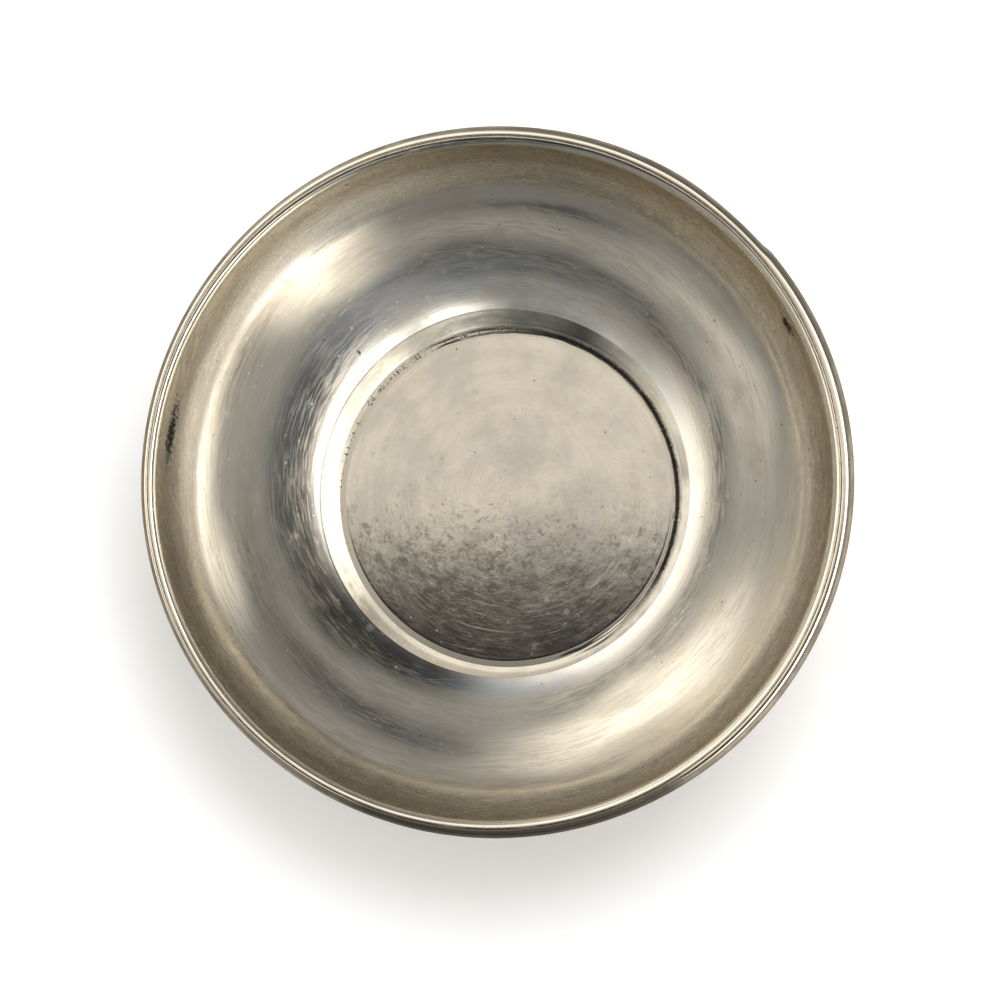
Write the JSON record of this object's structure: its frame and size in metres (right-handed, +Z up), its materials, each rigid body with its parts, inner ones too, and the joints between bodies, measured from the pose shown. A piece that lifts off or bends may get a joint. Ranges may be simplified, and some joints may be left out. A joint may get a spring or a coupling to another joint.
{
  "type": "offering bowl",
  "caption": "Round footed offering bowl of aged silver, with a hollow wall, an upright collar, a sunk flat floor and a rim bead, that holds water or grain on an altar.",
  "frame": {"origin": "on the table, under the centre of the bowl", "axes": "+Z up along the bowl's axis, +X towards the right of the reference view, +Y towards its top"},
  "size_m": [0.11, 0.11, 0.0346],
  "materials": {
    "body_silver": "aged silver, turned and polished by hand, with fine rings, haze and brown tarnish",
    "floor_silver": "aged silver, worn dull, with ring scratches and water spots",
    "wire_silver": "aged silver wire, polished by handling, with dark tarnish in the seam",
    "solder": "silver solder, tarnished dark and pitted"
  },
  "bodies": {
    "root": {"bowl_body": "body_silver", "floor_disc": "floor_silver", "rim_wire": "wire_silver", "foot_wire": "wire_silver", "floor_solder": "solder", "rim_solder": "solder", "foot_solder": "solder", "rim_joint_solder": "solder", "foot_joint_solder": "solder"}
  },
  "joints": []
}
